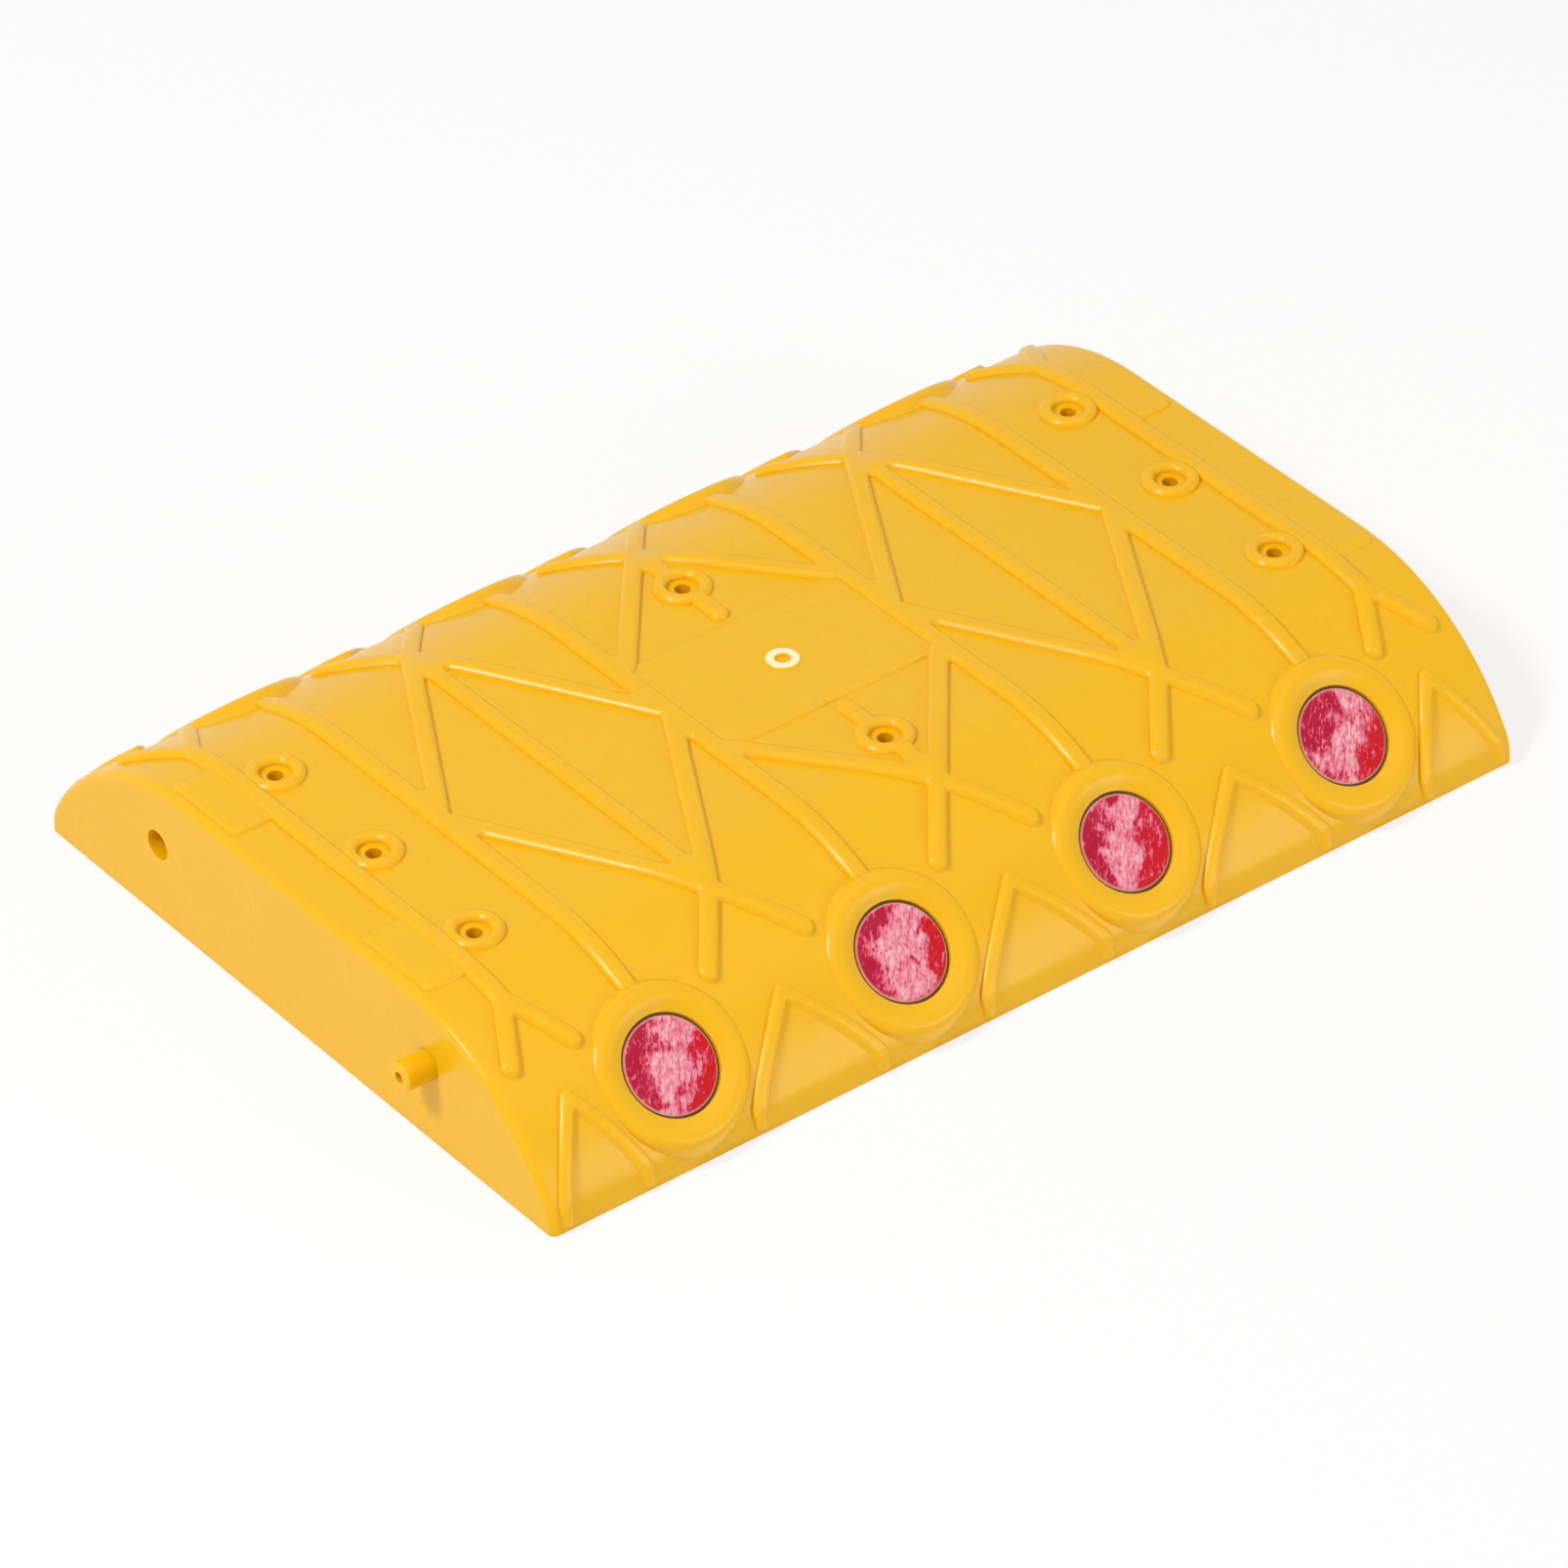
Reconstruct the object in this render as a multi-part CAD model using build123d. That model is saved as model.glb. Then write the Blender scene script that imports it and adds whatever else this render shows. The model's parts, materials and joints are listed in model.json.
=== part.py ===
import os
from math import atan2, cos, degrees, hypot, radians, sin, sqrt, tan

from build123d import *

# Bump body, sizes in millimetres
body_length = 500.0
body_width = 345.0
deck_height = 68.0
deck_width = 149.0  # flat part of the top
skirt_height = 8.0  # level where the flank would meet the upright edge
skirt_blend = 20.0  # radius between the flank and the upright edge
end_edge_radius = 3.2
wall = 4.0

# Lattice under the deck
cells_along = 11
cells_across = 8
web_thickness = 3.0

# Tread ribs on the deck and flanks
rib_sink = 2.0  # how deep a raised feature's root reaches into the body
rib_height = 2.8
rib_round = 2.0
main_rib_width = 8.6
slant_rib_width = 8.2
spine_rib_width = 7.8
tail_rib_width = 7.8
chevron_width = 5.6
chevron_height = 2.2
chevron_round = 1.6
main_rib_inset = 49.5  # end of a main rib, inside a collar, to the long edge of the body
crossing_inset = 71.5  # to the long edge
tail_spread = 24.0
tail_inset = 41.5  # to the long edge
end_rib_inset = 27.5  # to the end of the body
end_crossing_inset = 67.0  # to the long edge
end_tail_spread = 15.0
chevron_apex_inset = 25.5  # to the long edge
chevron_foot_inset = 1.0  # to the long edge
chevron_spread = 31.0
end_chevron_spread = 20.0
tread_floor = 3.5  # no rib reaches below this level
rib_crotch = 1.5  # plan radius in the corners between ribs

# Raised plate and pads on the deck
plate_height = 1.0
plate_half_x = 54.0
plate_half_y = 35.0
plate_round = 0.6
plate_gap = 3.5  # between the plate and the middle spines
pad_height = 1.7
pad_inner_y = 43.0
pad_outer_y = 87.5
pad_end_margin = 5.0
pad_round = 1.4
pad_corner = 3.0
gate_ring_radius = 7.5
gate_ring_height = 0.7
gate_ring_round = 0.6
gate_pit_radius = 3.2
gate_pit_depth = 1.2

# Bolt bosses
bolt_inset = 42.5  # outer bolts to the end of the body
bolt_spacing_y = 135.0
bolt_hole_diameter = 7.0
bolt_tube_diameter = 24.0
boss_ring_diameter = 25.0
boss_ring_height = 2.9
boss_ring_round = 2.2
boss_mouth_round = 1.9
recess_diameter = 14.0  # inside a ring, where the bolt's head sits
recess_depth = 3.6  # below the top of the ring

# Reflectors in each flank, square to it
reflectors_per_row = 4
reflector_pitch = 116.2
reflector_angle = 45.4  # degrees above level, round the arc of the flank
reflector_inset = 1.6  # edge of the lens below the skin
lens_radius = 20.4
lens_thickness = 3.5
lens_dome = 0.8
lens_bevel = 1.0  # width of the slanted edge round the lens
lens_bevel_drop = 0.7
lens_gap = 0.15  # radial, lens in cup
disc_thickness = 0.8
disc_gap = 0.3  # radial, disc in cup
cup_rim = 0.9
cup_rim_drop = 1.4  # rim below the edge of the lens
cup_step = 1.35  # width of the ledge that carries the lens
cup_depth = 8.0
cup_floor = 1.5
cup_gap = 0.25  # radial, cup in pocket
adhesive_radius = 18.5
adhesive_thickness = 1.0
pocket_wall = 4.0
pocket_floor = 3.0
pocket_lip = 0.4  # pocket wall above the lens edge
collar_crest_radius = 30.0
collar_crest_height = 2.8  # above the lens edge
collar_shoulder = 5.0
collar_wall_slope = 68.0  # degrees to the lens plane
collar_root_depth = 10.0
collar_band = 15.0  # above the skin, clear of the crest
bevel_outer_radius = 26.4
bevel_outer_height = 2.5
dish_reach = 31.5
dish_height = 3.5

# Connector pegs and end sockets
connector_y = 92.5
connector_z = 37.8
peg_diameter = 13.0  # free end
peg_bore = 5.0
peg_standout = 14.0
peg_tip_break = 1.0
peg_fit = 0.05  # radial, thicker seat of the peg in its own socket
socket_clearance = 0.3  # radial, free end in the neighbour's socket
socket_depth = 18.0
socket_boss_wall = 4.0
socket_boss_floor = 4.0

# Room for tools
head_room = 40.0  # cuts and layers end this far above the deck
cut_margin = 1.0  # cuts run this far past a face
same_place = 0.02  # places nearer than this count as one

# Values that follow from the sizes above
half_length = body_length / 2
half_width = body_width / 2
deck_half = deck_width / 2
flank_run = half_width - deck_half
flank_drop = deck_height - skirt_height
flank_radius = (flank_run**2 + flank_drop**2) / (2 * flank_drop)
flank_centre_z = deck_height - flank_radius
blend_centre_y = half_width - skirt_blend
blend_run = blend_centre_y - deck_half
blend_centre_z = flank_centre_z + sqrt((flank_radius - skirt_blend) ** 2 - blend_run**2)
blend_angle = degrees(atan2(blend_centre_z - flank_centre_z, blend_run))
cup_radius = lens_radius + lens_gap + cup_rim
pocket_radius = cup_radius + cup_gap
pocket_depth = cup_depth + adhesive_thickness
row_reach = reflector_pitch * (reflectors_per_row - 1) / 2
main_rib_xs = [column * reflector_pitch - row_reach for column in range(reflectors_per_row)]
bay_xs = [(left + right) / 2 for left, right in zip(main_rib_xs, main_rib_xs[1:])]
main_rib_reach = half_width - main_rib_inset
crossing_y = half_width - crossing_inset
tail_end_y = half_width - tail_inset
chevron_apex_y = half_width - chevron_apex_inset
chevron_foot_y = half_width - chevron_foot_inset
end_rib_x = half_length - end_rib_inset
end_crossing_y = half_width - end_crossing_inset
spine_stub_y = plate_half_y + plate_gap + spine_rib_width / 2
bolt_x = half_length - bolt_inset
bolt_columns = [(-bolt_x, (-1, 0, 1)), (0, (-1, 1)), (bolt_x, (-1, 0, 1))]
bolt_xy = [(x, row * bolt_spacing_y / 2) for x, rows in bolt_columns for row in rows]
sky = deck_height + head_room
upward = (Align.CENTER, Align.CENTER, Align.MIN)
downward = (Align.CENTER, Align.CENTER, Align.MAX)


def bump_block(growth, reach):
    """Bump profile grown outward by growth and drawn along X to both sides."""
    side = half_width + growth
    top = deck_height + growth
    blend = skirt_blend + growth
    flank = flank_radius + growth
    flank_sweep = 90 - blend_angle
    outline = [
        Line((-side, 0), (side, 0)),
        Line((side, 0), (side, blend_centre_z)),
        CenterArc((blend_centre_y, blend_centre_z), blend, 0, blend_angle),
        CenterArc((deck_half, flank_centre_z), flank, blend_angle, flank_sweep),
        Line((deck_half, top), (-deck_half, top)),
        CenterArc((-deck_half, flank_centre_z), flank, 90, flank_sweep),
        CenterArc((-blend_centre_y, blend_centre_z), blend, 180 - blend_angle, blend_angle),
        Line((-side, blend_centre_z), (-side, 0)),
    ]
    return extrude(Plane.YZ * make_face(outline), amount=reach, both=True)


def skin_gap(point):
    """Distance of a point from the bump's skin, outward positive."""
    across = abs(point.Y)
    if across <= deck_half:
        return point.Z - deck_height
    angle = degrees(atan2(point.Z - flank_centre_z, across - deck_half))
    if angle >= blend_angle:
        return hypot(across - deck_half, point.Z - flank_centre_z) - flank_radius
    if point.Z >= blend_centre_z:
        return hypot(across - blend_centre_y, point.Z - blend_centre_z) - skirt_blend
    return across - half_width


bands = {}


def skin_band(height):
    """Layer from just under the skin to a height above it."""
    if height not in bands:
        inner = bump_block(-rib_sink, half_length + cut_margin)
        bands[height] = bump_block(height, half_length) - inner
    return bands[height]


def raised(footprint, height, rounding):
    """Footprint raised from the skin, its outer edges rounded."""
    lump = extrude(footprint, amount=sky) & skin_band(height)
    outer_edges = []
    for edge in lump.edges():
        spots = [edge @ 0, edge @ 0.5, edge @ 1]
        if all(abs(skin_gap(spot) - height) < same_place for spot in spots):
            outer_edges.append(edge)
    return fillet(ShapeList(outer_edges).filter_by(lambda edge: not on_seam(edge)), rounding)


def on_seam(edge):
    """True for the lines along X where deck, flank and blend run into one another."""
    heading = edge % 0.5
    along = abs(heading.Y) < same_place and abs(heading.Z) < same_place
    return along and is_seam_level(edge @ 0.5)


def is_seam_level(point):
    across = abs(point.Y)
    if abs(across - deck_half) < same_place:
        return True
    angle = degrees(atan2(point.Z - flank_centre_z, across - deck_half))
    return abs(angle - blend_angle) < same_place or abs(point.Z - blend_centre_z) < same_place


def bar(start, end, width):
    """Plan outline of a straight rib with round ends."""
    run_x = end[0] - start[0]
    run_y = end[1] - start[1]
    middle = Pos((start[0] + end[0]) / 2, (start[1] + end[1]) / 2, tread_floor)
    turn = Rot(0, 0, degrees(atan2(run_y, run_x)))
    return middle * turn * SlotCenterToCenter(hypot(run_x, run_y), width)


def turned(profile):
    """Solid of revolution about Z from a closed outline of (radius, level)."""
    return revolve(Plane.XZ * make_face(profile), Axis.Z)


def turned_points(points):
    return turned([Polyline(*points, close=True)])


def rib_plan(bars):
    """Bars joined into one plan, its inner corners rounded."""
    plan = bars[0]
    for outline in bars[1:]:
        plan = plan + outline
    return offset(offset(plan, rib_crotch), -rib_crotch)


# Tread: main ribs between facing collars, end ribs, spines, slants and tails, with chevrons below
ribs = [bar((x, -main_rib_reach), (x, main_rib_reach), main_rib_width) for x in main_rib_xs]
chevrons = []
for x in bay_xs:
    middle_bay = abs(x) < same_place
    for row in (-1, 1):
        spine_start = row * spine_stub_y if middle_bay else 0
        ribs.append(bar((x, spine_start), (x, row * crossing_y), spine_rib_width))
        for side in (-1, 1):
            slant_end = (x + side * reflector_pitch / 2, 0)
            if middle_bay:
                slant_end = (side * plate_half_x, row * plate_half_y)
            tail_end = (x + side * tail_spread, row * tail_end_y)
            ribs.append(bar((x, row * crossing_y), slant_end, slant_rib_width))
            ribs.append(bar((x, row * crossing_y), tail_end, tail_rib_width))
            foot = (x + side * chevron_spread, row * chevron_foot_y)
            chevrons.append(bar((x, row * chevron_apex_y), foot, chevron_width))
for x in (-end_rib_x, end_rib_x):
    ribs.append(bar((x, -end_crossing_y), (x, end_crossing_y), main_rib_width))
    for row in (-1, 1):
        for side in (-1, 1):
            tail_end = (x + side * end_tail_spread, row * tail_end_y)
            ribs.append(bar((x, row * end_crossing_y), tail_end, tail_rib_width))
            foot = (x + side * end_chevron_spread, row * chevron_foot_y)
            chevrons.append(bar((x, row * chevron_apex_y), foot, chevron_width))
tread = [
    raised(rib_plan(chevrons), chevron_height, chevron_round),
    raised(rib_plan(ribs), rib_height, rib_round),
]

# Pads on the end strips, centre plate and the gate mark on it
raised_work = []
pad_half_x = (half_length - pad_end_margin - end_rib_x) / 2
for side in (-1, 1):
    for row in (-1, 1):
        pad_spot = Pos(side * (end_rib_x + pad_half_x), row * (pad_inner_y + pad_outer_y) / 2)
        pad_plan = pad_spot * RectangleRounded(2 * pad_half_x, pad_outer_y - pad_inner_y, pad_corner)
        raised_work.append(raised(pad_plan, pad_height, pad_round))
raised_work.append(raised(Rectangle(2 * plate_half_x, 2 * plate_half_y), plate_height, plate_round))
plate_top = deck_height + plate_height
gate_ring = Pos(0, 0, deck_height) * extrude(Circle(gate_ring_radius), plate_height + gate_ring_height)
raised_work.append(fillet(gate_ring.edges().group_by(Axis.Z)[-1], gate_ring_round))

# Rings round the bolt holes
boss_top = deck_height + boss_ring_height
boss_ring = Cylinder(boss_ring_diameter / 2, boss_ring_height + rib_sink, align=downward)
boss_ring = fillet(boss_ring.edges().group_by(Axis.Z)[-1], boss_ring_round)
raised_work += [Pos(x, y, boss_top) * boss_ring for x, y in bolt_xy]

# Seats of the reflectors: level 0 is the edge of the lens, Z points out of it
facing_y = cos(radians(reflector_angle))
facing_z = sin(radians(reflector_angle))
seat_radius = flank_radius - reflector_inset
seat_y = deck_half + seat_radius * facing_y
seat_z = flank_centre_z + seat_radius * facing_z
seats = []
for row in (-1, 1):
    facing = (0, row * facing_y, facing_z)
    for x in main_rib_xs:
        seats.append(Plane(origin=(x, row * seat_y, seat_z), x_dir=(-row, 0, 0), z_dir=facing))

# Collar round each reflector
slope = radians(collar_wall_slope)
shoulder_x = collar_crest_radius + collar_shoulder * sin(slope)
shoulder_z = collar_crest_height - collar_shoulder * (1 - cos(slope))
root_x = shoulder_x + (shoulder_z + collar_root_depth) / tan(slope)
collar_disc = turned(
    [
        Line((0, -collar_root_depth), (root_x, -collar_root_depth)),
        Line((root_x, -collar_root_depth), (shoulder_x, shoulder_z)),
        CenterArc(
            (collar_crest_radius, collar_crest_height - collar_shoulder),
            collar_shoulder,
            90 - collar_wall_slope,
            collar_wall_slope,
        ),
        Line((collar_crest_radius, collar_crest_height), (0, collar_crest_height)),
        Line((0, collar_crest_height), (0, -collar_root_depth)),
    ]
)
collars = [seat * collar_disc & skin_band(collar_band) for seat in seats]

body = bump_block(0, half_length)
end_edges = body.edges().group_by(Axis.X)[0] + body.edges().group_by(Axis.X)[-1]
body = fillet(end_edges.filter_by(lambda edge: edge.center().Z > same_place), end_edge_radius)
for lump in collars + raised_work + tread:
    body = body + lump

# Hollow under the deck, less the lattice, bolt tubes, pocket walls and socket bosses
hollow = bump_block(-wall, half_length - wall)
along_pitch = (body_length - wall) / cells_along
across_pitch = (body_width - wall) / cells_across
fillings = []
for number in range(1, cells_along):
    web_x = (number - cells_along / 2) * along_pitch
    fillings.append(Pos(web_x, 0, 0) * Box(web_thickness, 2 * body_width, 2 * sky))
for number in range(1, cells_across):
    web_y = (number - cells_across / 2) * across_pitch
    fillings.append(Pos(0, web_y, 0) * Box(2 * body_length, web_thickness, 2 * sky))
for x, y in bolt_xy:
    fillings.append(Pos(x, y, 0) * Cylinder(bolt_tube_diameter / 2, 2 * sky))
pocket_shell_depth = pocket_depth + pocket_floor
for seat in seats:
    fillings.append(seat * Cylinder(pocket_radius + pocket_wall, pocket_shell_depth, align=downward))
peg_radius = peg_diameter / 2
socket_radius = peg_radius + socket_clearance
boss_reach = socket_depth + socket_boss_floor
mouths = []
for side in (-1, 1):
    for row in (-1, 1):
        spot = (side * half_length, row * connector_y, connector_z)
        mouth = Plane(origin=spot, x_dir=(0, side, 0), z_dir=(side, 0, 0))
        mouths.append((mouth, side == row))
for mouth, carries_peg in mouths:
    fillings.append(mouth * Cylinder(socket_radius + socket_boss_wall, boss_reach, align=downward))
hollow = hollow - fillings

# Bores: bolt holes, reflector pockets with their dish, end sockets and the gate pit
mouth_level = boss_top - boss_mouth_round
recess_level = boss_top - recess_depth
hole_radius = bolt_hole_diameter / 2
recess_radius = recess_diameter / 2
mouth_radius = recess_radius + boss_mouth_round
bolt_bore = turned(
    [
        Polyline((0, -cut_margin), (hole_radius, -cut_margin), (hole_radius, recess_level)),
        Polyline((hole_radius, recess_level), (recess_radius, recess_level), (recess_radius, mouth_level)),
        CenterArc((mouth_radius, mouth_level), boss_mouth_round, 180, -90),
        Polyline((mouth_radius, boss_top), (mouth_radius, sky), (0, sky), (0, -cut_margin)),
    ]
)
bores = [Pos(x, y, 0) * bolt_bore for x, y in bolt_xy]
pocket = turned_points(
    [
        (0, -pocket_depth),
        (pocket_radius, -pocket_depth),
        (pocket_radius, pocket_lip),
        (bevel_outer_radius, bevel_outer_height),
        (dish_reach, dish_height),
        (dish_reach, sky),
        (0, sky),
    ]
)
bores += [seat * pocket for seat in seats]
socket = Pos(0, 0, -socket_depth) * Cylinder(socket_radius, socket_depth + wall, align=upward)
bores += [mouth * socket for mouth, carries_peg in mouths]
gate_pit_level = plate_top + gate_ring_height - gate_pit_depth
bores.append(Pos(0, 0, gate_pit_level) * Cylinder(gate_pit_radius, sky, align=upward))
shell = body - bores - hollow

# Reflector pieces, drawn about the seat: lens, reflective disc behind it, cup and adhesive pad
ledge_radius = lens_radius + lens_gap - cup_step
lens_flat = lens_radius - lens_bevel
dome_radius = (lens_flat**2 + lens_dome**2) / (2 * lens_dome)
dome_angle = degrees(atan2(lens_flat, dome_radius - lens_dome))
lens = turned(
    [
        Polyline((0, lens_dome), (0, -lens_thickness), (lens_radius, -lens_thickness)),
        Polyline((lens_radius, -lens_thickness), (lens_radius, -lens_bevel_drop), (lens_flat, 0)),
        CenterArc((0, lens_dome - dome_radius), dome_radius, 90 - dome_angle, dome_angle),
    ]
)
reflective_disc = Cylinder(ledge_radius - disc_gap, disc_thickness, align=downward)
reflective_disc = Pos(0, 0, -lens_thickness) * reflective_disc
cup_inner = lens_radius + lens_gap
reflector_cup = turned_points(
    [
        (0, -cup_depth),
        (cup_radius, -cup_depth),
        (cup_radius, -cup_rim_drop),
        (cup_inner, -cup_rim_drop),
        (cup_inner, -lens_thickness),
        (ledge_radius, -lens_thickness),
        (ledge_radius, cup_floor - cup_depth),
        (0, cup_floor - cup_depth),
    ]
)
adhesive_pad = Pos(0, 0, -cup_depth) * Cylinder(adhesive_radius, adhesive_thickness, align=downward)

# Connector peg, drawn about the mouth of its seat with Z out of the end wall
peg = turned_points(
    [
        (peg_bore / 2, -socket_depth),
        (socket_radius - peg_fit, -socket_depth),
        (socket_radius - peg_fit, 0),
        (peg_radius, 0),
        (peg_radius, peg_standout - peg_tip_break),
        (peg_radius - peg_tip_break, peg_standout),
        (peg_bore / 2, peg_standout),
    ]
)

os.makedirs("parts", exist_ok=True)
export_step(shell, "parts/bump_shell.step")
for number, seat in enumerate(seats):
    row_name = "front" if number < len(main_rib_xs) else "rear"
    place = number % len(main_rib_xs) + 1
    export_step(seat * lens, f"parts/{row_name}_lens_{place}.step")
    export_step(seat * reflective_disc, f"parts/{row_name}_reflective_disc_{place}.step")
    export_step(seat * reflector_cup, f"parts/{row_name}_reflector_cup_{place}.step")
    export_step(seat * adhesive_pad, f"parts/{row_name}_adhesive_pad_{place}.step")
for mouth, carries_peg in mouths:
    if carries_peg:
        end_name = "left" if mouth.origin.X < 0 else "right"
        export_step(mouth * peg, f"parts/{end_name}_connector_peg.step")
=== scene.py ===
import json
import math

import bmesh
import bpy
from mathutils import Matrix, Quaternion, Vector


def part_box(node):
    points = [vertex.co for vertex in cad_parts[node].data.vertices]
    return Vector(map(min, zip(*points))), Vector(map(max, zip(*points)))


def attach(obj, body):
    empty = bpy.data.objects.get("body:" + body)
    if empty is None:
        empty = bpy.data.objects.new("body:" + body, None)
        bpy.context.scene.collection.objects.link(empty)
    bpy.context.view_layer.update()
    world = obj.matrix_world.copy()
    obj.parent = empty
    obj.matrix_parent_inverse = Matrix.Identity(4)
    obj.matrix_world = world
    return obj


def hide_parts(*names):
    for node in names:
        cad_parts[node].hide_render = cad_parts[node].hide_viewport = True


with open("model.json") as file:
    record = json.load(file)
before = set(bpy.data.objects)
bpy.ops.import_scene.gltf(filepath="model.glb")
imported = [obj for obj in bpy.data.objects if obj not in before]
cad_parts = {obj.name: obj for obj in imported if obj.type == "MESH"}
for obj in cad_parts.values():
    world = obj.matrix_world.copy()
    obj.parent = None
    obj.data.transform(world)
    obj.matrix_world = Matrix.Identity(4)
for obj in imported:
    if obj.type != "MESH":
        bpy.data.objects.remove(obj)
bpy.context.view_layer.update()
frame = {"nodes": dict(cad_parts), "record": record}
nodes = frame["nodes"]
scene = bpy.context.scene
print("frame loaded:", len(nodes), "nodes")


def hexColor(code):  # sRGB hex to linear RGBA
    channels = [int(code[i:i + 2], 16) / 255 for i in (0, 2, 4)]
    linear = [c / 12.92 if c <= 0.04045 else ((c + 0.055) / 1.055) ** 2.4 for c in channels]
    return (*linear, 1.0)


def addNode(tree, kind, settings=None, links=None):  # settings: attributes or input values
    node = tree.nodes.new(kind)
    for name, value in (settings or {}).items():
        if isinstance(name, str) and hasattr(node, name):
            setattr(node, name, value)
        else:
            node.inputs[name].default_value = value
    for name, source in (links or {}).items():
        tree.links.new(source, node.inputs[name])
    return node


def newMaterial(name):
    material = bpy.data.materials.new(name)
    material.use_nodes = True
    material.node_tree.nodes.clear()
    return material, material.node_tree


# camera fitted to the photograph
cameraView = {
    "azimuth": -37.56,
    "elevation": 36.41,
    "roll": -0.90,
    "distance": 3.7642,
    "focalLength": 208.30,
    "sensor": 36.0,
    "shiftX": -0.00045,
    "shiftY": 0.00664,
}


def makeCamera(view):
    turn = math.radians(view["azimuth"])
    lift = math.radians(view["elevation"])
    roll = math.radians(view["roll"])
    back = Vector((math.sin(turn) * math.cos(lift), -math.cos(turn) * math.cos(lift), math.sin(lift)))
    flatRight = Vector((math.cos(turn), math.sin(turn), 0))
    flatUp = back.cross(flatRight)
    right = flatRight * math.cos(roll) + flatUp * math.sin(roll)
    up = flatUp * math.cos(roll) - flatRight * math.sin(roll)
    data = bpy.data.cameras.new("photoCamera")
    data.sensor_width = view["sensor"]
    data.lens = view["focalLength"]
    data.shift_x = view["shiftX"]
    data.shift_y = view["shiftY"]
    data.clip_end = 50
    camera = bpy.data.objects.new("photoCamera", data)
    turned = Matrix((right, up, back)).transposed().to_4x4()
    camera.matrix_world = Matrix.Translation(back * view["distance"]) @ turned
    scene.collection.objects.link(camera)
    scene.camera = camera


makeCamera(cameraView)

# light tent: even white surround, a key panel from the left, faint wide panels above and low in front
lightTent = {
    "worldStrength": 0.48,
    "aim": (0, 0, 0.03),
    "keyPlace": (-2.20, 0.15, 2.65),
    "keySize": 0.5,
    "keyPower": 60.0,
    "topPlace": (0.2, -0.9, 2.9),
    "topSize": 2.6,
    "topPower": 15.0,
    "frontPlace": (1.35, -2.50, 0.75),
    "frontSize": 1.2,
    "frontPower": 16.0,
    "floorSize": 14.0,
    "floorColor": "F7F7F6",
    "floorRoughness": 0.9,
    "floorSpecular": 0.1,
    "floorGlow": 0.72,  # share of plain white that the camera sees, so the shadow stays faint
    "floorDrop": 0.0002,
}


def makeLight(panel, settings):
    place = Vector(settings[panel + "Place"])
    data = bpy.data.lights.new(panel + "Panel", "AREA")
    data.size = settings[panel + "Size"]
    data.energy = settings[panel + "Power"]
    light = bpy.data.objects.new(panel + "Panel", data)
    light.location = place
    light.rotation_euler = (Vector(settings["aim"]) - place).to_track_quat("-Z", "Y").to_euler()
    scene.collection.objects.link(light)


def seenRays(tree):  # 1 for what the camera sees straight, mirrored or through a clear piece
    path = addNode(tree, "ShaderNodeLightPath")
    direct = addNode(tree, "ShaderNodeMath", {"operation": "MAXIMUM"},
                     {0: path.outputs["Is Camera Ray"], 1: path.outputs["Is Glossy Ray"]})
    seen = addNode(tree, "ShaderNodeMath", {"operation": "MAXIMUM"},
                   {0: direct.outputs[0], 1: path.outputs["Is Transmission Ray"]})
    return seen.outputs[0]


def makeWorld(strength):
    world = bpy.data.worlds.new("lightTent")
    world.use_nodes = True
    tree = world.node_tree
    tree.nodes.clear()
    soft = addNode(tree, "ShaderNodeBackground", {"Color": (1, 1, 1, 1), "Strength": strength})
    white = addNode(tree, "ShaderNodeBackground", {"Color": (1, 1, 1, 1), "Strength": 1.0})
    mixed = addNode(tree, "ShaderNodeMixShader", None,
                    {0: seenRays(tree), 1: soft.outputs[0], 2: white.outputs[0]})
    addNode(tree, "ShaderNodeOutputWorld", None, {"Surface": mixed.outputs[0]})
    scene.world = world


def makeFloor(settings):
    half = settings["floorSize"] / 2
    level = -settings["floorDrop"]
    mesh = bpy.data.meshes.new("floor")
    corners = [(x * half, y * half, level) for x, y in ((-1, -1), (1, -1), (1, 1), (-1, 1))]
    mesh.from_pydata(corners, [], [(0, 1, 2, 3)])
    floor = bpy.data.objects.new("floor", mesh)
    material, tree = newMaterial("matt white paper sweep")
    surface = addNode(tree, "ShaderNodeBsdfPrincipled",
                      {"Base Color": hexColor(settings["floorColor"]),
                       "Roughness": settings["floorRoughness"],
                       "Specular IOR Level": settings["floorSpecular"]})
    share = addNode(tree, "ShaderNodeMath", {"operation": "MULTIPLY", 1: settings["floorGlow"]},
                    {0: seenRays(tree)})
    white = addNode(tree, "ShaderNodeEmission", {"Color": (1, 1, 1, 1), "Strength": 1.0})
    seen = addNode(tree, "ShaderNodeMixShader", None,
                   {0: share.outputs[0], 1: surface.outputs[0], 2: white.outputs[0]})
    addNode(tree, "ShaderNodeOutputMaterial", None, {"Surface": seen.outputs[0]})
    mesh.materials.append(material)
    scene.collection.objects.link(floor)


makeWorld(lightTent["worldStrength"])
for panel in ("key", "top", "front"):
    makeLight(panel, lightTent)
makeFloor(lightTent)
scene.view_settings.view_transform = "Standard"
print("camera and light tent ready")

# finishes
yellowAbs = {
    "body": "F0BA0C",
    "flow": "EDB408",
    "gateHighlight": "FBF0C4",
    "flowSize": 0.045,
    "grainSize": 0.0011,  # coarser than the real tool grain, so that it shows
    "grainHeight": 0.00002,
    "grainStrength": 0.5,
    "roughness": (0.24, 0.32),
    "scatterShare": 0.40,
    "scatterDepth": 0.005,
    "scatterColors": (1.0, 0.55, 0.12),
    "ior": 1.54,
    "specularLevel": 0.24,
    "gateInner": (0.0032, 0.0040),  # radii where the painted highlight ring fades in and out
    "gateOuter": (0.0074, 0.0066),
}


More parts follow.
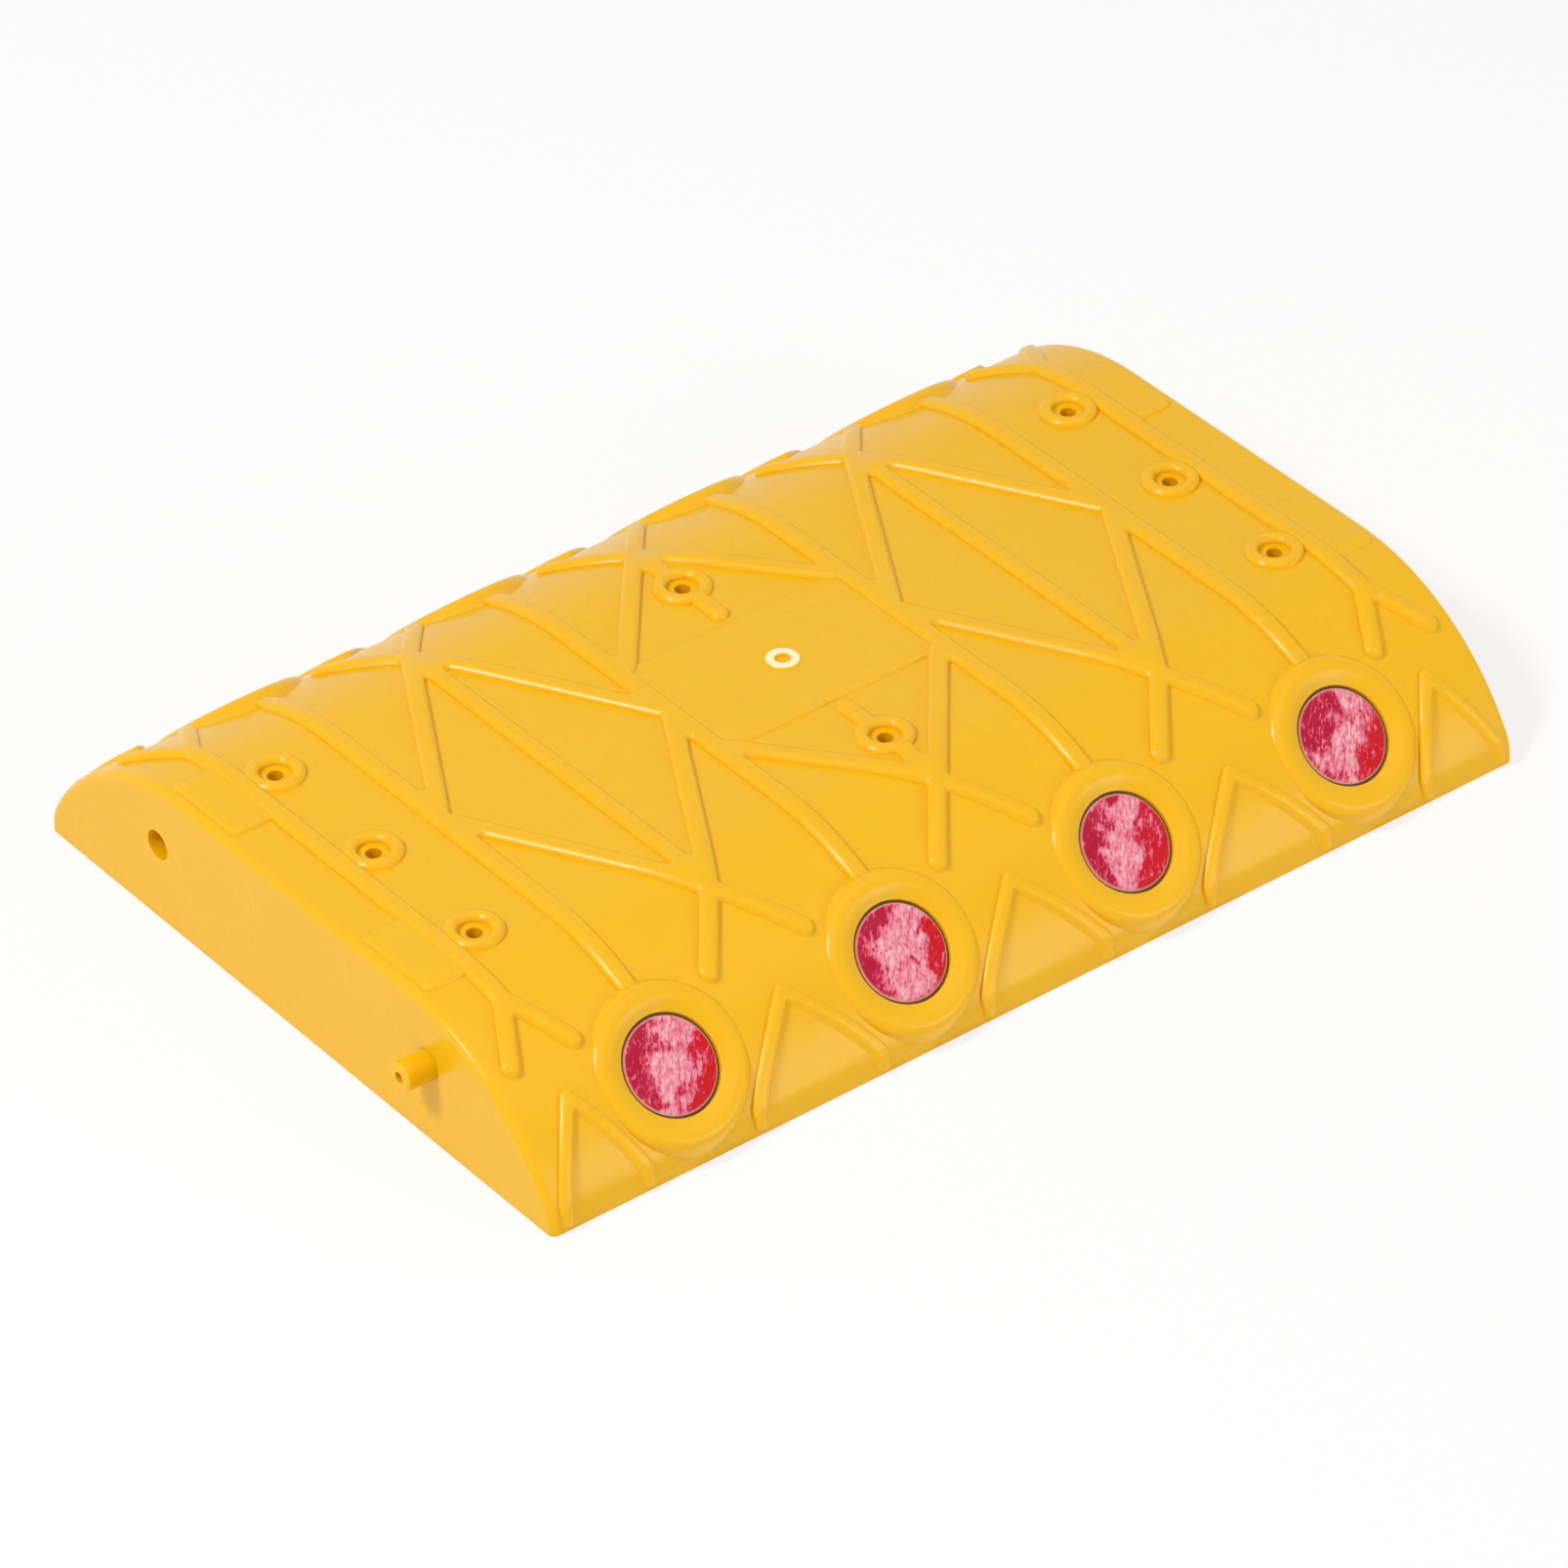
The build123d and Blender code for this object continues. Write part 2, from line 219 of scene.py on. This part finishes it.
def makeYellowAbs(look):
    # injection-moulded yellow ABS: satin gloss, faint flow clouds, fine tool grain, and a pale ring at the
    # gate that is a painted highlight
    material, tree = newMaterial("moulded yellow ABS")
    place = addNode(tree, "ShaderNodeTexCoord").outputs["Object"]
    flow = addNode(tree, "ShaderNodeTexNoise",
                   {"Scale": 1 / look["flowSize"], "Detail": 3.0, "Roughness": 0.5}, {"Vector": place})
    tint = addNode(tree, "ShaderNodeMix", {"data_type": "RGBA"}, {0: flow.outputs[0]})
    tint.inputs[6].default_value = hexColor(look["body"])
    tint.inputs[7].default_value = hexColor(look["flow"])
    spot = addNode(tree, "ShaderNodeSeparateXYZ", None, {0: place})
    flat = addNode(tree, "ShaderNodeCombineXYZ", None, {0: spot.outputs[0], 1: spot.outputs[1]})
    radius = addNode(tree, "ShaderNodeVectorMath", {"operation": "LENGTH"}, {0: flat.outputs[0]})
    inner = addNode(tree, "ShaderNodeMapRange", {1: look["gateInner"][0], 2: look["gateInner"][1]},
                    {0: radius.outputs["Value"]})
    outer = addNode(tree, "ShaderNodeMapRange", {1: look["gateOuter"][0], 2: look["gateOuter"][1]},
                    {0: radius.outputs["Value"]})
    # painted highlight: a pale ring round the gate mark, mixed into the base colour
    ring = addNode(tree, "ShaderNodeMath", {"operation": "MULTIPLY"},
                   {0: inner.outputs[0], 1: outer.outputs[0]})
    color = addNode(tree, "ShaderNodeMix", {"data_type": "RGBA"},
                    {0: ring.outputs[0], 6: tint.outputs[2]})
    color.inputs[7].default_value = hexColor(look["gateHighlight"])
    grain = addNode(tree, "ShaderNodeTexNoise", {"Scale": 1 / look["grainSize"], "Detail": 2.0},
                    {"Vector": place})
    gloss = addNode(tree, "ShaderNodeMapRange", {3: look["roughness"][0], 4: look["roughness"][1]},
                    {0: flow.outputs[0]})
    bump = addNode(tree, "ShaderNodeBump",
                   {"Strength": look["grainStrength"], "Distance": look["grainHeight"]},
                   {"Height": grain.outputs[0]})
    surface = addNode(tree, "ShaderNodeBsdfPrincipled",
                      {"IOR": look["ior"], "Specular IOR Level": look["specularLevel"],
                       "Subsurface Weight": look["scatterShare"],
                       "Subsurface Radius": look["scatterColors"],
                       "Subsurface Scale": look["scatterDepth"]},
                      {"Base Color": color.outputs[2], "Roughness": gloss.outputs[0],
                       "Normal": bump.outputs[0]})
    addNode(tree, "ShaderNodeOutputMaterial", None, {"Surface": surface.outputs[0]})
    return material


redLens = {
    "leftDeep": "AE0630",
    "rightDeep": "C80812",
    "roseReflection": "CC2450",
    "pinkReflection": "DE6880",
    "hazeReflection": "E8909F",
    "glint": "F3C0C4",
    # painted highlight on the slanted edge of the lens
    "edge": "E9AC9C",
    "radius": 0.0204,
    "bandShift": 0.30,  # how far the painted reflection band wanders from lens to lens, of the radius
    "bandRagged": -0.045,
    "bandEdges": (-0.0085, -0.0195),
    "bandShare": 0.8,
    "patchSize": 0.0105,
    "streakWidth": 0.0014,
    "streakLength": 0.0045,
    "streakLean": 33.0,  # degrees from upright, for band and streaks
    "streakShare": 2.8,
    "fleckSize": 0.0018,
    "fleckShare": 0.5,
    "shadeRange": (1.60, 3.00),  # marks below it are deep red, above it the brightest painted reflection
    "reflectionStart": (0.14, 0.30),
    "reflectionStops": (0.22, 0.42, 0.70, 0.97),  # painted reflection tints: rose, pink, haze and glint
    "deepSides": (-0.3, 0.5),  # from left to right red, of the radius
    "ior": 1.49,
    "specularLevel": 0.2,
    "roughness": 0.16,
    "relief": 0.00010,
    "reliefStrength": 0.5,
}


def makeRedLens(look):
    # moulded red acrylic over prisms and foil, deep red at the sides; the pale band, leaning streaks and
    # glints are painted reflection of the lit surround, and the pale slanted edge is a painted highlight
    material, tree = newMaterial("red acrylic with painted foil reflections")
    place = addNode(tree, "ShaderNodeUVMap", {"uv_map": "lensPlane"}).outputs["UV"]
    seed = addNode(tree, "ShaderNodeAttribute", {"attribute_name": "lensSeed"}).outputs["Fac"]
    patch = addNode(tree, "ShaderNodeTexNoise",
                    {"noise_dimensions": "4D", "Scale": 1 / look["patchSize"], "Detail": 2.0,
                     "Distortion": 0.5},
                    {"Vector": place, "W": seed})
    lean = addNode(tree, "ShaderNodeVectorRotate",
                   {"rotation_type": "Z_AXIS", "Angle": math.radians(look["streakLean"])},
                   {"Vector": place})
    combed = addNode(tree, "ShaderNodeMapping",
                     {"Scale": (1 / look["streakWidth"], 1 / look["streakLength"], 1)},
                     {"Vector": lean.outputs[0]})
    streak = addNode(tree, "ShaderNodeTexNoise",
                     {"noise_dimensions": "4D", "Scale": 1.0, "Detail": 3.0, "Roughness": 0.6,
                      "Distortion": 0.9},
                     {"Vector": combed.outputs[0], "W": seed})
    fleck = addNode(tree, "ShaderNodeTexVoronoi",
                    {"voronoi_dimensions": "4D", "Scale": 1 / look["fleckSize"]},
                    {"Vector": place, "W": seed})
    wander = addNode(tree, "ShaderNodeTexWhiteNoise", {"noise_dimensions": "1D"}, {"W": seed})
    reach = look["bandShift"] * look["radius"]
    shift = addNode(tree, "ShaderNodeMapRange", {3: -reach, 4: reach}, {0: wander.outputs["Value"]})
    spot = addNode(tree, "ShaderNodeSeparateXYZ", None, {0: lean.outputs[0]})
    offside = addNode(tree, "ShaderNodeMath", {"operation": "SUBTRACT"},
                      {0: spot.outputs[0], 1: shift.outputs[0]})
    away = addNode(tree, "ShaderNodeMath", {"operation": "ABSOLUTE"}, {0: offside.outputs[0]})
    ragged = addNode(tree, "ShaderNodeMath", {"operation": "MULTIPLY_ADD", 1: look["bandRagged"]},
                     {0: patch.outputs[0], 2: away.outputs[0]})
    band = addNode(tree, "ShaderNodeMapRange",
                   {"interpolation_type": "SMOOTHSTEP", 1: look["bandEdges"][0], 2: look["bandEdges"][1],
                    4: look["bandShare"]},
                   {0: ragged.outputs[0]})
    combedBand = addNode(tree, "ShaderNodeMath", {"operation": "MULTIPLY_ADD", 1: look["streakShare"]},
                         {0: streak.outputs[0], 2: band.outputs[0]})
    mark = addNode(tree, "ShaderNodeMath", {"operation": "MULTIPLY_ADD", 1: look["fleckShare"]},
                   {0: fleck.outputs["Distance"], 2: combedBand.outputs[0]})
    shade = addNode(tree, "ShaderNodeMapRange", {1: look["shadeRange"][0], 2: look["shadeRange"][1]},
                    {0: mark.outputs[0]})
    side = addNode(tree, "ShaderNodeMapRange",
                   {1: look["deepSides"][0] * look["radius"], 2: look["deepSides"][1] * look["radius"]},
                   {0: spot.outputs[0]})
    deep = addNode(tree, "ShaderNodeMix", {"data_type": "RGBA"}, {0: side.outputs[0]})
    deep.inputs[6].default_value = hexColor(look["leftDeep"])
    deep.inputs[7].default_value = hexColor(look["rightDeep"])
    # painted reflection: rose, pink, haze and glint stand in for light mirrored by the prisms and foil
    ramp = addNode(tree, "ShaderNodeValToRGB", None, {0: shade.outputs[0]})
    stops = ramp.color_ramp.elements
    while len(stops) < len(look["reflectionStops"]):
        stops.new(0.5)
    for stop, position, tint in zip(stops, look["reflectionStops"], ("roseReflection", "pinkReflection", "hazeReflection", "glint")):
        stop.position = position
        stop.color = hexColor(look[tint])
    window = addNode(tree, "ShaderNodeMapRange",
                     {"interpolation_type": "SMOOTHSTEP", 1: look["reflectionStart"][0], 2: look["reflectionStart"][1]},
                     {0: shade.outputs[0]})
    # painted reflection mixed over the deep red sides
    paintedReflection = addNode(tree, "ShaderNodeMix", {"data_type": "RGBA"},
                   {0: window.outputs[0], 6: deep.outputs[2], 7: ramp.outputs[0]})
    # painted highlight: the slanted edge is mixed toward a pale colour
    edge = addNode(tree, "ShaderNodeAttribute", {"attribute_name": "edgeBand"})
    color = addNode(tree, "ShaderNodeMix", {"data_type": "RGBA"},
                    {0: edge.outputs["Fac"], 6: paintedReflection.outputs[2]})
    color.inputs[7].default_value = hexColor(look["edge"])
    bump = addNode(tree, "ShaderNodeBump",
                   {"Strength": look["reliefStrength"], "Distance": look["relief"]},
                   {"Height": streak.outputs[0]})
    surface = addNode(tree, "ShaderNodeBsdfPrincipled",
                      {"IOR": look["ior"], "Roughness": look["roughness"],
                       "Specular IOR Level": look["specularLevel"]},
                      {"Base Color": color.outputs[2], "Normal": bump.outputs[0]})
    addNode(tree, "ShaderNodeOutputMaterial", None, {"Surface": surface.outputs[0]})
    return material


hiddenFinishes = {
    # the cup rim is dark plastic, and its brown is partly painted shade standing in for the gap round each
    # lens
    "dark_plastic": {"name": "dark ABS cup with painted gap shade", "dark": "5A3A1E", "light": "7A5230", "size": 0.004,
                     "metallic": 0.0, "roughness": 0.55, "relief": 0.0001, "reliefStrength": 0.4},
    "bright_foil": {"name": "embossed bright foil", "dark": "C9CACC", "light": "EDEDEE", "size": 0.002,
                    "metallic": 1.0, "roughness": 0.25, "relief": 0.0001, "reliefStrength": 0.4},
    "adhesive_foam": {"name": "pressed white foam tape", "dark": "D2D1CB", "light": "E8E7E2",
                      "size": 0.0012, "metallic": 0.0, "roughness": 0.9, "relief": 0.0001,
                      "reliefStrength": 0.4},
}


def makeHiddenFinish(look):
    # dark ABS rim, foil and foam behind the lenses: a cloudy tint and matching relief; the rim's brown is
    # partly painted shade for the gap round each lens
    material, tree = newMaterial(look["name"])
    place = addNode(tree, "ShaderNodeTexCoord").outputs["Object"]
    cloud = addNode(tree, "ShaderNodeTexNoise", {"Scale": 1 / look["size"], "Detail": 3.0},
                    {"Vector": place})
    color = addNode(tree, "ShaderNodeMix", {"data_type": "RGBA"}, {0: cloud.outputs[0]})
    color.inputs[6].default_value = hexColor(look["dark"])
    color.inputs[7].default_value = hexColor(look["light"])
    bump = addNode(tree, "ShaderNodeBump",
                   {"Strength": look["reliefStrength"], "Distance": look["relief"]},
                   {"Height": cloud.outputs[0]})
    surface = addNode(tree, "ShaderNodeBsdfPrincipled",
                      {"Metallic": look["metallic"], "Roughness": look["roughness"]},
                      {"Base Color": color.outputs[2], "Normal": bump.outputs[0]})
    addNode(tree, "ShaderNodeOutputMaterial", None, {"Surface": surface.outputs[0]})
    return material


finishes = {"yellow_plastic": makeYellowAbs(yellowAbs), "red_lens": makeRedLens(redLens)}
for slot, look in hiddenFinishes.items():
    finishes[slot] = makeHiddenFinish(look)
slotOf = {part["node"]: part["material_slot"] for part in frame["record"]["subparts"]}
for name, node in nodes.items():
    node.data.materials.clear()
    node.data.materials.append(finishes[slotOf[name]])
print("finishes on", len(nodes), "nodes")

# the moulded yellow pieces, their facets joined and smoothed
mouldedPieces = {
    "pieces": {"bump_shell": "bumpSkin", "left_connector_peg": "leftPeg",
               "right_connector_peg": "rightPeg"},
    "joinDistance": 0.000002,
    "sharpAngle": 30.0,
    "planeMatch": 0.999999,  # cosine between facets of one plane
    "flatArea": 0.00002,
    "flatWeight": 10000.0,
    "deckHalf": 0.0745,  # profile of the bump: flat deck, round flank, blend and upright edge
    "deckLevel": 0.068,
    "flankRadius": 0.110033,
    "blendRadius": 0.020,
    "halfWidth": 0.1725,
    "ribReach": (-0.0001, 0.0031),  # levels over the skin where ribs and rings stand
    "collarReach": 0.037,
    "sideTilt": (1.0, 100.0),  # degrees from the skin between which a facet counts as a side
    "easedKnee": (15.0, 30.0),  # drafted sides: true tilt, shaded tilt
    "easedEnd": (90.0, 56.0),
}


def flatFaces(shape, settings):  # facets of the large level and upright faces keep their own normal
    match = settings["planeMatch"]
    found = set()
    seen = set()
    for start in shape.faces:
        if start in seen or max(abs(part) for part in start.normal) < match:
            continue
        patch = [start]
        seen.add(start)
        for face in patch:
            for edge in face.edges:
                for other in edge.link_faces:
                    if other not in seen and other.normal.dot(start.normal) > match:
                        seen.add(other)
                        patch.append(other)
        if sum(face.calc_area() for face in patch) > settings["flatArea"]:
            found.update(patch)
    return found


def smoothFan(start):  # corners round one vertex that no sharp edge parts
    fan = [start]
    corner = start
    while corner.edge.smooth:
        corner = corner.link_loop_radial_next.link_loop_next
        if corner is start:
            return fan
        fan.append(corner)
    corner = start
    while corner.link_loop_prev.edge.smooth:
        corner = corner.link_loop_prev.link_loop_radial_next
        fan.append(corner)
    return fan


def skinAt(point, settings):  # normal of the plain bump under a point, and the height over it
    across = abs(point.y) - settings["deckHalf"]
    if across <= 0:
        return Vector((0, 0, 1)), point.z - settings["deckLevel"]
    side = math.copysign(1.0, point.y)
    flankLevel = settings["deckLevel"] - settings["flankRadius"]
    blendAcross = settings["halfWidth"] - settings["blendRadius"] - settings["deckHalf"]
    blendRise = math.sqrt((settings["flankRadius"] - settings["blendRadius"]) ** 2 - blendAcross ** 2)
    arm = Vector((0, side * across, point.z - flankLevel))
    if math.atan2(arm.z, across) >= math.atan2(blendRise, blendAcross):
        return arm.normalized(), arm.length - settings["flankRadius"]
    arm = Vector((0, side * (across - blendAcross), max(point.z - flankLevel - blendRise, 0.0)))
    return arm.normalized(), arm.length - settings["blendRadius"]


def easeSide(point, normal, lensMiddles, settings):  # sides of ribs and rings shade as drafted
    skin, height = skinAt(point, settings)
    low, high = settings["ribReach"]
    if not low < height < high:
        return normal
    if any((point - middle).length < settings["collarReach"] for middle in lensMiddles):
        return normal
    tilt = math.degrees(skin.angle(normal))
    flattest, steepest = settings["sideTilt"]
    if tilt < flattest or tilt > steepest:
        return normal
    knee, kneeTo = settings["easedKnee"]
    end, endTo = settings["easedEnd"]
    if tilt <= knee:
        eased = tilt * kneeTo / knee
    else:
        eased = kneeTo + (min(tilt, end) - knee) * (endTo - kneeTo) / (end - knee)
    return Quaternion(skin.cross(normal), math.radians(eased)) @ skin


def cornerNormals(shape, lensMiddles, settings):
    flat = flatFaces(shape, settings)
    normals = {}
    for vertex in shape.verts:
        for start in vertex.link_loops:
            if start.index in normals:
                continue
            fan = smoothFan(start)
            total = Vector()
            for corner in fan:
                weight = settings["flatWeight"] if corner.face in flat else 1.0
                total += corner.face.normal * corner.calc_angle() * weight
            shaded = easeSide(vertex.co, total.normalized(), lensMiddles, settings)
            for corner in fan:
                normals[corner.index] = shaded
    return [normals[index] for index in range(len(normals))]


def smoothMoulding(nodeName, pieceName, lensMiddles, settings):
    mesh = nodes[nodeName].data.copy()
    mesh.name = pieceName
    shape = bmesh.new()
    shape.from_mesh(mesh)
    bmesh.ops.remove_doubles(shape, verts=shape.verts, dist=settings["joinDistance"])
    shape.normal_update()
    limit = math.radians(settings["sharpAngle"])
    for edge in shape.edges:
        edge.smooth = len(edge.link_faces) == 2 and edge.calc_face_angle(math.pi) < limit
    for face in shape.faces:
        face.smooth = True
    count = 0
    for face in shape.faces:
        for corner in face.loops:
            corner.index = count
            count += 1
    normals = cornerNormals(shape, lensMiddles, settings)
    shape.to_mesh(mesh)
    shape.free()
    mesh.normals_split_custom_set(normals)
    piece = bpy.data.objects.new(pieceName, mesh)
    scene.collection.objects.link(piece)
    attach(piece, "root")
    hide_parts(nodeName)
    return piece


lensNodes = [name for name in nodes if slotOf[name] == "red_lens"]
lensMiddles = [(Vector(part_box(name)[0]) + Vector(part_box(name)[1])) / 2 for name in lensNodes]
for nodeName, pieceName in mouldedPieces["pieces"].items():
    made = smoothMoulding(nodeName, pieceName, lensMiddles, mouldedPieces)
    print("moulding", pieceName, len(made.data.polygons), "faces")

# the red lenses: shallow dome, slanted edge, upright wall and flat back
lensShape = {
    "radius": 0.0204,
    "bevel": 0.0010,
    "bevelDrop": 0.0007,
    "dome": 0.0008,
    "thickness": 0.0035,
    "segments": 96,
    "rings": {"dome": 20, "bevel": 2, "wall": 2, "back": 4},
    "angle": 45.4,  # degrees above level
    "across": 0.150637,  # lens edge plane from the middle of the bump
    "level": 0.035174,
    "sharpAngle": 24.0,
    "joinDistance": 0.000002,
    "seedStep": 3.7,
}


def makeLensTree(settings, material):
    tree = bpy.data.node_groups.new("lensTree", "GeometryNodeTree")
    inputs = {}
    for name in ("Radius", "Bevel", "Bevel Drop", "Dome", "Thickness", "Seed"):
        inputs[name] = tree.interface.new_socket(name, in_out="INPUT", socket_type="NodeSocketFloat")
    for name in ("Turn", "Place"):
        inputs[name] = tree.interface.new_socket(name, in_out="INPUT", socket_type="NodeSocketVector")
    tree.interface.new_socket("Geometry", in_out="OUTPUT", socket_type="NodeSocketGeometry")
    given = addNode(tree, "NodeGroupInput").outputs
    rings = settings["rings"]
    count = sum(rings.values())
    grid = addNode(tree, "GeometryNodeMeshGrid",
                   {"Size X": 1.0, "Size Y": 1.0, "Vertices X": settings["segments"] + 1,
                    "Vertices Y": count + 1})
    position = addNode(tree, "GeometryNodeInputPosition").outputs[0]
    spot = addNode(tree, "ShaderNodeSeparateXYZ", None, {0: position})
    shares = {}
    passed = 0
    for name, number in rings.items():  # 0 to 1 along each stretch of the section
        start = passed / count - 0.5
        passed += number
        shares[name] = addNode(tree, "ShaderNodeMapRange", {1: start, 2: passed / count - 0.5},
                               {0: spot.outputs[1]}).outputs[0]

    flat = addNode(tree, "ShaderNodeMath", {"operation": "SUBTRACT"},
                   {0: given["Radius"], 1: given["Bevel"]})
    domeOut = addNode(tree, "ShaderNodeMath", {"operation": "MULTIPLY"},
                      {0: flat.outputs[0], 1: shares["dome"]})
    bevelOut = addNode(tree, "ShaderNodeMath", {"operation": "MULTIPLY_ADD"},
                       {0: given["Bevel"], 1: shares["bevel"], 2: domeOut.outputs[0]})
    backIn = addNode(tree, "ShaderNodeMath", {"operation": "MULTIPLY"},
                     {0: given["Radius"], 1: shares["back"]})
    outward = addNode(tree, "ShaderNodeMath", {"operation": "SUBTRACT"},
                      {0: bevelOut.outputs[0], 1: backIn.outputs[0]})
    square = addNode(tree, "ShaderNodeMath", {"operation": "MULTIPLY"},
                     {0: shares["dome"], 1: shares["dome"]})
    domeFall = addNode(tree, "ShaderNodeMath", {"operation": "MULTIPLY"},
                       {0: given["Dome"], 1: square.outputs[0]})
    bevelFall = addNode(tree, "ShaderNodeMath", {"operation": "MULTIPLY_ADD"},
                        {0: given["Bevel Drop"], 1: shares["bevel"], 2: domeFall.outputs[0]})
    wall = addNode(tree, "ShaderNodeMath", {"operation": "SUBTRACT"},
                   {0: given["Thickness"], 1: given["Bevel Drop"]})
    wallFall = addNode(tree, "ShaderNodeMath", {"operation": "MULTIPLY_ADD"},
                       {0: wall.outputs[0], 1: shares["wall"], 2: bevelFall.outputs[0]})
    rise = addNode(tree, "ShaderNodeMath", {"operation": "SUBTRACT"},
                   {0: given["Dome"], 1: wallFall.outputs[0]})
    section = addNode(tree, "ShaderNodeCombineXYZ", None, {0: outward.outputs[0], 2: rise.outputs[0]})
    around = addNode(tree, "ShaderNodeMath", {"operation": "MULTIPLY", 1: -2 * math.pi},
                     {0: spot.outputs[0]})
    shaped = addNode(tree, "ShaderNodeVectorRotate", {"rotation_type": "Z_AXIS"},
                     {"Vector": section.outputs[0], "Angle": around.outputs[0]})
    edgeBand = addNode(tree, "GeometryNodeStoreNamedAttribute", {"data_type": "FLOAT", "domain": "POINT"},
                       {"Geometry": grid.outputs["Mesh"], "Value": shares["bevel"]})
    edgeBand.inputs["Name"].default_value = "edgeBand"
    curled = addNode(tree, "GeometryNodeSetPosition", None,
                     {"Geometry": edgeBand.outputs[0], "Position": shaped.outputs[0]})
    joined = addNode(tree, "GeometryNodeMergeByDistance", {"Distance": settings["joinDistance"]},
                     {"Geometry": curled.outputs[0]})
    lensPlane = addNode(tree, "GeometryNodeStoreNamedAttribute", {"data_type": "FLOAT2", "domain": "CORNER"},
                        {"Geometry": joined.outputs[0], "Value": position})
    lensPlane.inputs["Name"].default_value = "lensPlane"
    lensSeed = addNode(tree, "GeometryNodeStoreNamedAttribute", {"data_type": "FLOAT", "domain": "POINT"},
                       {"Geometry": lensPlane.outputs[0], "Value": given["Seed"]})
    lensSeed.inputs["Name"].default_value = "lensSeed"
    smooth = addNode(tree, "GeometryNodeSetShadeSmooth", None, {"Geometry": lensSeed.outputs[0]})
    placed = addNode(tree, "GeometryNodeTransform", None,
                     {"Geometry": smooth.outputs[0], "Rotation": given["Turn"], "Translation": given["Place"]})
    real = addNode(tree, "GeometryNodeRealizeInstances", None, {"Geometry": placed.outputs[0]})
    painted = addNode(tree, "GeometryNodeSetMaterial", {"Material": material}, {"Geometry": real.outputs[0]})
    addNode(tree, "NodeGroupOutput", None, {"Geometry": painted.outputs[0]})
    return tree, inputs


def makeLens(nodeName, pieceName, number, tree, inputs, settings):
    low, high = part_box(nodeName)
    row = 1 if low[1] > 0 else -1
    place = ((low[0] + high[0]) / 2, row * settings["across"], settings["level"])
    turn = (math.radians(90 - settings["angle"]), 0, 0 if row < 0 else math.pi)
    piece = bpy.data.objects.new(pieceName, bpy.data.meshes.new(pieceName))
    scene.collection.objects.link(piece)
    builder = piece.modifiers.new("lensBuilder", "NODES")
    builder.node_group = tree
    values = {"Radius": settings["radius"], "Bevel": settings["bevel"], "Bevel Drop": settings["bevelDrop"],
              "Dome": settings["dome"], "Thickness": settings["thickness"],
              "Seed": number * settings["seedStep"], "Turn": turn, "Place": place}
    for name, value in values.items():
        builder[inputs[name].identifier] = value
    evaluated = piece.evaluated_get(bpy.context.evaluated_depsgraph_get())
    mesh = bpy.data.meshes.new_from_object(evaluated)
    piece.modifiers.clear()
    mesh.name = pieceName
    mesh.set_sharp_from_angle(angle=math.radians(settings["sharpAngle"]))
    piece.data = mesh
    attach(piece, "root")
    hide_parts(nodeName)
    return piece


lensTree, lensInputs = makeLensTree(lensShape, finishes["red_lens"])
for number, nodeName in enumerate(sorted(lensNodes)):
    row, _, place = nodeName.split("_")
    made = makeLens(nodeName, row + "Lens" + place, number + 1, lensTree, lensInputs, lensShape)
print("lenses made:", len(lensNodes), "of", len(made.data.polygons), "faces each")
